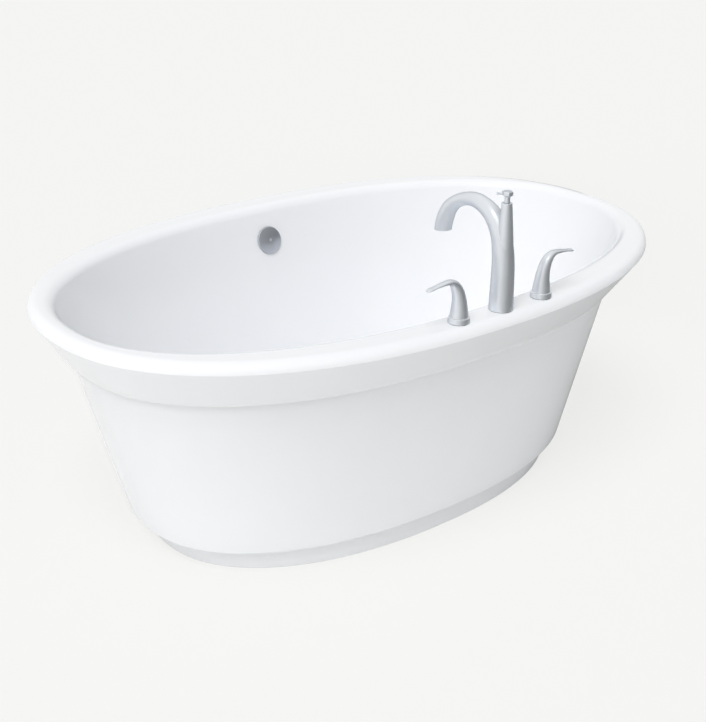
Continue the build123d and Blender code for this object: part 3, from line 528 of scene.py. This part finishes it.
def makePlinth():
    foot = (plinth["length"] / 2, plinth["width"] / 2)
    top = (plinth["topLength"] / 2, plinth["topWidth"] / 2)
    ledge = tuple(half - plinth["ledge"] for half in top)
    edge = plinth["edge"]
    outerLow = (foot[0], foot[1], edge)
    outerHigh = (top[0], top[1], plinth["height"] - edge)
    rings = [(*ledge, plinth["height"]), (top[0] - edge, top[1] - edge, plinth["height"])]
    rings += [lerp(outerHigh, outerLow, share) for share in shares(plinth["steps"])]
    rings += [(foot[0] - edge, foot[1] - edge, 0.0)]
    rings += [(foot[0] - plinth["wall"], foot[1] - plinth["wall"], 0.0),
              (top[0] - plinth["wall"], top[1] - plinth["wall"], plinth["height"] - plinth["wall"]),
              (*ledge, plinth["height"] - plinth["wall"])]
    piece = ovalSkin("plinthRing", rings, closed=True)
    smooth(piece)
    return piece


def finishPiece(piece, body, slot, *replaced, finish=None):
    piece.data.materials.clear()
    piece.data.materials.append(finishes[finish or slot])
    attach(piece, body)
    if replaced:
        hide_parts(*replaced)
    print("  piece", piece.name, len(piece.data.polygons), "faces")


finishPiece(makeShell(), "root", "acrylic", "tub_shell")
finishPiece(makeSkirt(), "root", "acrylic", "skirt_panel")
finishPiece(makePlinth(), "root", "acrylic", "plinth_ring")
print("stage: moulded acrylic made")


# Natural cubic spline through the rows, stepped evenly along the length of their first two columns
def splineRows(rows, steps):
    rows = numpy.array(rows)
    spans = numpy.hypot(*numpy.diff(rows[:, :2], axis=0).T)
    knots = numpy.concatenate(([0.0], numpy.cumsum(spans)))
    last = len(rows) - 1
    weights = numpy.eye(last + 1)
    target = numpy.zeros_like(rows)
    for index in range(1, last):
        before, after = spans[index - 1], spans[index]
        weights[index, index - 1:index + 2] = before, 2 * (before + after), after
        target[index] = 6 * ((rows[index + 1] - rows[index]) / after
                             - (rows[index] - rows[index - 1]) / before)
    curve = numpy.linalg.solve(weights, target)
    line = []
    for place in numpy.linspace(0.0, knots[-1], steps + 1):
        index = min(int(numpy.searchsorted(knots, place, side="right")) - 1, last - 1)
        span = spans[index]
        q = (place - knots[index]) / span
        p = 1 - q
        line.append(p * rows[index] + q * rows[index + 1]
                    + ((p ** 3 - p) * curve[index] + (q ** 3 - q) * curve[index + 1]) * span * span / 6)
    return [tuple(float(value) for value in row) for row in line]


# Loops square to a centre line; rows are out, up, half depth and half width, out being along `heading`
def sweepLoops(rows, steps, foot, heading, sides):
    line = splineRows(rows, steps)
    heading = Vector(heading)
    upward = Vector((0.0, 0.0, 1.0))
    across = upward.cross(heading)
    loops = []
    for index, (out, up, deep, wide) in enumerate(line):
        before, after = line[max(index - 1, 0)], line[min(index + 1, steps)]
        run = (heading * (after[0] - before[0]) + upward * (after[1] - before[1])).normalized()
        square = across.cross(run)
        centre = Vector(foot) + heading * out + upward * up
        turns = [2 * math.pi * step / sides for step in range(sides)]
        loops.append([centre + across * wide * math.cos(turn) + square * deep * math.sin(turn)
                      for turn in turns])
    return loops


def turnLoops(profile, place, sides):
    turns = [2 * math.pi * step / sides for step in range(sides)]
    return [[place @ Vector((r * math.cos(turn), r * math.sin(turn), z)) for turn in turns]
            for r, z in profile]


# Cast column and swept arch in one, with the slimmer tube of the diverter coming out of its back
spout = {
    "foot": (holes["deckX"][1], holes["deckY"], 628.0), "radius": 27.5, "reach": 200.0, "rise": 226.0,
    "steps": 168, "sides": 96,
    # Shares of reach, rise and radius from the foot to past the outlet
    "arch": [(0.0, 0.0, 1.0), (0.0, 0.15, 0.975), (0.0, 0.3, 0.945), (0.003, 0.442, 0.916),
             (0.013, 0.553, 0.887), (0.035, 0.664, 0.847), (0.072, 0.761, 0.815), (0.128, 0.841, 0.778),
             (0.21, 0.916, 0.735),
             (0.33, 0.972, 0.669), (0.468, 1.0, 0.607), (0.595, 0.989, 0.553), (0.707, 0.956, 0.542),
             (0.805, 0.905, 0.578), (0.885, 0.84, 0.64), (0.945, 0.75, 0.698), (0.98, 0.659, 0.724),
             (0.995, 0.58, 0.724), (1.0, 0.49, 0.724)],
    "bore": 5, "boreSteps": 30, "wall": 4.0, "outletRise": 131.5, "outletTilt": 3.0,
    "cutShare": 4.0,
    "stemHeight": 243.5, "stemSteps": 60, "stemEdge": 1.2, "stemEdgeSteps": 4,
    "stem": [(0.755, 0.41), (0.74, 0.5), (0.72, 0.575), (0.651, 0.69), (0.531, 0.846), (0.425, 0.98)],
    "socket": (13.1, 14.0), "spindle": (4.1, 22.0),
}


def makeSpout(spec):
    rows = [(spec["reach"] * out, spec["rise"] * up, spec["radius"] * share, spec["radius"] * share)
            for out, up, share in spec["arch"]]
    along = (0.0, 1.0, 0.0)
    foot = Matrix.Translation(spec["foot"])
    body = sweepLoops(rows, spec["steps"], spec["foot"], along, spec["sides"])
    piece = skinLoops("spoutBody", body, closed=False)
    hollow = [(out, up, deep - spec["wall"], wide - spec["wall"])
              for out, up, deep, wide in rows[-spec["bore"]:]]
    bore = sweepLoops(hollow, spec["boreSteps"], spec["foot"], along, spec["sides"])
    join(piece, skinLoops("bore", bore, closed=False), "DIFFERENCE")
    size = spec["cutShare"] * spec["radius"]
    slant = (foot @ Matrix.Translation((0.0, spec["reach"], spec["outletRise"]))
             @ Matrix.Rotation(math.radians(-spec["outletTilt"]), 4, "X"))
    corners = [(-1, -1), (1, -1), (1, 1), (-1, 1)]
    block = [[slant @ Vector((x * size / 2, y * size / 2, z)) for x, y in corners] for z in (0.0, -size)]
    join(piece, skinLoops("slant", block, closed=False), "DIFFERENCE")
    stem = splineRows([(spec["radius"] * share, spec["stemHeight"] * up) for share, up in spec["stem"]],
                      spec["stemSteps"])
    endR, edge, top = stem[-1][0], spec["stemEdge"], spec["stemHeight"]
    stem += [(endR - edge * (1 - math.cos(turn)), top - edge * (1 - math.sin(turn)))
             for turn in (math.pi / 2 * share for share in shares(spec["stemEdgeSteps"], False))]
    join(piece, skinLoops("stem", turnLoops(stem, foot, spec["sides"]), closed=False), "UNION")
    drill(piece, [(foot, spec["socket"][0], 2 * spec["socket"][1]),
                  (foot @ Matrix.Translation((0.0, 0.0, top)), spec["spindle"][0], 2 * spec["spindle"][1])])
    smooth(piece)
    return piece


finishPiece(makeSpout(spout), "root", "satin_nickel", "spout_body")

# Swan-necked levers, each turned outwards over its ring and thin collar
lever = {
    "footZ": 640.5, "rise": 85.0, "reach": 94.0, "radius": 20.9, "steps": 110, "sides": 72,
    # Shares of reach, rise, and the radius in depth and in width
    "arm": [(0.0, 0.0, 1.0, 1.0), (0.0, 0.17, 0.9, 0.9), (0.008, 0.36, 0.8, 0.8), (0.03, 0.54, 0.71, 0.72),
            (0.08, 0.72, 0.61, 0.66), (0.175, 0.89, 0.47, 0.58), (0.3, 0.985, 0.31, 0.5),
            (0.45, 1.0, 0.21, 0.44), (0.63, 0.985, 0.155, 0.4), (0.82, 0.955, 0.115, 0.36),
            (0.985, 0.925, 0.08, 0.28),
            (1.0, 0.922, 0.045, 0.22)],
    "spindle": (5.05, 30.0), "screw": (1.85, 9.0, 24.0),
}
ring = {
    "base": 628.0, "bore": 11.1, "sides": 128,
    "profile": [(24.1, 0.0), (24.4, 0.2), (24.5, 0.6), (24.45, 2.0), (24.1, 5.0), (23.7, 8.0), (23.45, 10.2),
                (23.3, 10.6), (23.0, 10.88), (22.6, 11.0)],
}
collar = {
    "base": 639.0, "bore": 5.4, "sides": 128,
    "profile": [(22.1, 0.0), (22.35, 0.15), (22.4, 0.4), (22.4, 0.8), (22.3, 1.05), (22.0, 1.2)],
}


def makeLever(name, spec, x, side):
    rows = [(spec["reach"] * out, spec["rise"] * up, spec["radius"] * thin, spec["radius"] * wide)
            for out, up, thin, wide in spec["arm"]]
    foot = (x, holes["deckY"], spec["footZ"])
    loops = sweepLoops(rows, spec["steps"], foot, (side, 0.0, 0.0), spec["sides"])
    piece = skinLoops(name, loops, closed=False)
    place = Matrix.Translation(foot)
    radius, height, length = spec["screw"]
    drill(piece, [(place, spec["spindle"][0], 2 * spec["spindle"][1])])
    drill(piece, [(place @ Matrix.Translation((0.0, length / 2 + spec["spindle"][0] / 2, height))
                   @ Matrix.Rotation(math.pi / 2, 4, "X"), radius, length)])
    smooth(piece)
    return piece


def makeRing(name, spec, x):
    profile = spec["profile"] + [(spec["bore"], spec["profile"][-1][1]), (spec["bore"], 0.0)]
    place = Matrix.Translation((x, holes["deckY"], spec["base"]))
    piece = skinLoops(name, turnLoops(profile, place, spec["sides"]), closed=True)
    smooth(piece)
    return piece


for tap, side, x in (("hot", -1.0, holes["deckX"][0]), ("cold", 1.0, holes["deckX"][2])):
    finishPiece(makeLever(tap + "Lever", lever, x, side), tap + "_handle", "satin_nickel", tap + "_lever")
    finishPiece(makeRing(tap + "Escutcheon", ring, x), "root", "satin_nickel", tap + "_escutcheon")
    finishPiece(makeRing(tap + "Collar", collar, x), "root", "polished_nickel", tap + "_collar")

# Domed overflow cover on the far wall, recessed for its slotted screw and hollow behind
cover = {
    "seat": 0.44, "lift": 1.5, "radius": 37.0, "thickness": 8.0, "dome": 3.2, "domePower": 2.0, "edge": 3.0,
    "steps": 28, "edgeSteps": 8, "sides": 160, "head": (4.6, 2.0), "shank": 2.6, "boss": 9.0, "hollow": 26.0,
    "draft": 1.0,
}


def makeCover(spec):
    head, depth = spec["head"]
    faceRadius = spec["radius"] - spec["edge"]
    fall = [spec["dome"] * share ** spec["domePower"] for share in shares(spec["steps"])]
    profile = [(spec["shank"], spec["thickness"] / 2), (spec["shank"], spec["thickness"] - depth),
               (head, spec["thickness"] - depth)]
    profile += [(head + (faceRadius - head) * share, spec["thickness"] - drop)
                for share, drop in zip(shares(spec["steps"]), fall)]
    low = spec["thickness"] - spec["dome"]
    for share in shares(spec["edgeSteps"], False):
        turn = math.pi / 2 * share
        profile.append((faceRadius + spec["edge"] * math.sin(turn),
                        low - spec["edge"] * (1 - math.cos(turn))))
    profile += [(spec["radius"], 0.0), (spec["hollow"], 0.0),
                (spec["hollow"], low - spec["edge"] + spec["draft"]), (spec["boss"], spec["thickness"] / 2),
                (spec["boss"] - spec["draft"], 0.0), (spec["shank"], 0.0)]
    place = overflowPlace(spec["seat"]) @ Matrix.Translation((0.0, 0.0, spec["lift"]))
    piece = skinLoops("overflowCover", turnLoops(profile, place, spec["sides"]), closed=True)
    smooth(piece)
    return piece


# The overflow cover takes the nickel with painted shade, a darker tone than the rest of the plating
finishPiece(makeCover(cover), "root", "satin_nickel", "overflow_cover", finish="shaded_cover_nickel")
print("stage: plated fittings made")

# Pale floor, soft sky, a key light from high at the left with a small glint inside it, and a weak lamp
# far off at the left. The grey flag at the right keeps the edges of the white ware.
studio = {
    "floorSize": 80.0, "floorTone": "#F4F4F2", "floorGlow": 1.01,
    "floorShade": 0.2,      # the part of the floor that is lit and keeps the shadow
    "skyTone": "#F7F8F9", "skyLight": 0.56,
    "keyFrom": (-0.434, -0.304, 0.848), "keyAngle": 32.0, "keyPower": 1.75,
    "glintAngle": 3.0, "glintPower": 0.2,
    # What is mirrored of the room: dark low down at the right, bright above and at the left, and white
    # ahead and above, where the rims mirror it
    "darkSide": (0.677, -0.531, -0.5), "brightAt": -0.4, "darkAt": 0.9, "brightEnd": 0.96, "darkEnd": 0.0,
    "ahead": (0.55, 0.7, 0.45), "aheadFrom": 0.55, "aheadTo": 0.9,
    "sidePlace": (-4.0, 0.2, 1.1), "sideAim": (0.0, 0.0, 0.4), "sideWide": 2.2, "sideTall": 1.8,
    "sidePower": 10.0,
    "fittings": (0.014, -0.491, 0.76),      # from where the floor is mirrored
    "flagTone": "#6C7076", "flagPlace": (1.7, 1.1, 0.45), "flagWide": 1.6, "flagTall": 0.9, "flagTurn": 60.0,
}


# Camera, gloss and glass see the plain background; only diffuse light comes from the soft sky
def seenShare(tree):
    seen = addNode(tree, "ShaderNodeLightPath")
    look = addNode(tree, "ShaderNodeMath", {"operation": "MAXIMUM"}, {
        0: seen.outputs["Is Camera Ray"], 1: seen.outputs["Is Glossy Ray"]}).outputs["Value"]
    return addNode(tree, "ShaderNodeMath", {"operation": "MAXIMUM"}, {
        0: look, 1: seen.outputs["Is Transmission Ray"]}).outputs["Value"]


def alongRay(tree, ray, towards, low, high, start, end):
    share = addNode(tree, "ShaderNodeVectorMath", {"operation": "DOT_PRODUCT"}, {
        0: ray, 1: towards}).outputs["Value"]
    return addNode(tree, "ShaderNodeMapRange", None, {
        "Value": share, "From Min": low, "From Max": high, "To Min": start, "To Max": end}).outputs["Result"]


# Plain for the camera, and graded across the room for what is mirrored
def roomStrength(tree, ray, plain, spec):
    side = alongRay(tree, ray, spec["darkSide"], spec["brightAt"], spec["darkAt"],
                    spec["brightEnd"], spec["darkEnd"])
    ahead = alongRay(tree, ray, spec["ahead"], spec["aheadFrom"], spec["aheadTo"], 0.0, 1.0)
    room = addNode(tree, "ShaderNodeMix", {"data_type": "FLOAT"}, {0: ahead, 2: side, 3: 1.0}).outputs[0]
    glossy = addNode(tree, "ShaderNodeLightPath").outputs["Is Glossy Ray"]
    return addNode(tree, "ShaderNodeMix", {"data_type": "FLOAT"}, {0: glossy, 2: plain, 3: room}).outputs[0]


def makeFloor(spec):
    material, tree = startMaterial("matStudioFloor")
    share = addNode(tree, "ShaderNodeMath", {"operation": "MULTIPLY"}, {
        0: seenShare(tree), 1: 1 - spec["floorShade"]}).outputs["Value"]
    matt = addNode(tree, "ShaderNodeBsdfDiffuse", None, {"Color": linear(spec["floorTone"])})
    place = addNode(tree, "ShaderNodeNewGeometry").outputs["Position"]
    away = addNode(tree, "ShaderNodeVectorMath", {"operation": "SUBTRACT"}, {
        0: place, 1: spec["fittings"]}).outputs["Vector"]
    ray = addNode(tree, "ShaderNodeVectorMath", {"operation": "NORMALIZE"}, {0: away}).outputs["Vector"]
    glow = addNode(tree, "ShaderNodeEmission", None, {
        "Color": linear(spec["floorTone"]), "Strength": roomStrength(tree, ray, spec["floorGlow"], spec)})
    mixed = addNode(tree, "ShaderNodeMixShader", None, {
        0: share, 1: matt.outputs["BSDF"], 2: glow.outputs["Emission"]})
    addNode(tree, "ShaderNodeOutputMaterial", None, {"Surface": mixed.outputs["Shader"]})
    half = spec["floorSize"] / 2
    floor = flatPiece("studioFloor", half, half, material)


def flatPiece(name, halfX, halfY, material):
    mesh = bpy.data.meshes.new(name)
    mesh.from_pydata([(-halfX, -halfY, 0), (halfX, -halfY, 0), (halfX, halfY, 0), (-halfX, halfY, 0)], [],
                     [(0, 1, 2, 3)])
    piece = bpy.data.objects.new(name, mesh)
    piece.data.materials.append(material)
    bpy.context.scene.collection.objects.link(piece)
    return piece


def makeFlag(spec):
    material, tree = startMaterial("greyFeltFlag")
    matt = addNode(tree, "ShaderNodeBsdfDiffuse", None, {"Color": linear(spec["flagTone"])})
    addNode(tree, "ShaderNodeOutputMaterial", None, {"Surface": matt.outputs["BSDF"]})
    flag = flatPiece("flag", spec["flagWide"] / 2, spec["flagTall"] / 2, material)
    flag.matrix_world = (Matrix.Translation(spec["flagPlace"])
                         @ Matrix.Rotation(math.radians(spec["flagTurn"]), 4, "Z")
                         @ Matrix.Rotation(math.pi / 2, 4, "X"))
    flag.visible_camera = False
    flag.visible_shadow = False


def makeWorld(spec):
    world = bpy.data.worlds.new("studioWorld")
    world.use_nodes = True
    tree = world.node_tree
    tree.nodes.clear()
    soft = addNode(tree, "ShaderNodeBackground", None, {
        "Color": linear(spec["skyTone"]), "Strength": spec["skyLight"]})
    ray = addNode(tree, "ShaderNodeTexCoord").outputs["Generated"]
    pale = addNode(tree, "ShaderNodeBackground", None, {
        "Color": linear(spec["floorTone"]), "Strength": roomStrength(tree, ray, 1.0, spec)})
    mixed = addNode(tree, "ShaderNodeMixShader", None, {
        0: seenShare(tree), 1: soft.outputs["Background"], 2: pale.outputs["Background"]})
    addNode(tree, "ShaderNodeOutputWorld", None, {"Surface": mixed.outputs["Shader"]})
    bpy.context.scene.world = world


def addLamp(data, place, aim):
    lamp = bpy.data.objects.new(data.name, data)
    lamp.location = place
    lamp.rotation_euler = (Vector(aim) - Vector(place)).to_track_quat("-Z", "Y").to_euler()
    bpy.context.scene.collection.objects.link(lamp)
    return lamp


def makeLamps(spec):
    key = bpy.data.lights.new("keyLamp", "SUN")
    key.energy = spec["keyPower"]
    key.angle = math.radians(spec["keyAngle"])
    addLamp(key, spec["keyFrom"], (0, 0, 0)).visible_glossy = False
    glint = bpy.data.lights.new("glintLamp", "SUN")
    glint.energy = spec["glintPower"]
    glint.angle = math.radians(spec["glintAngle"])
    addLamp(glint, spec["keyFrom"], (0, 0, 0)).visible_diffuse = False
    side = bpy.data.lights.new("sideLamp", "AREA")
    side.shape = "RECTANGLE"
    side.size = spec["sideWide"]
    side.size_y = spec["sideTall"]
    side.energy = spec["sidePower"]
    addLamp(side, spec["sidePlace"], spec["sideAim"]).visible_glossy = False


makeFloor(studio)
makeFlag(studio)
makeWorld(studio)
makeLamps(studio)
print("stage: studio lit")
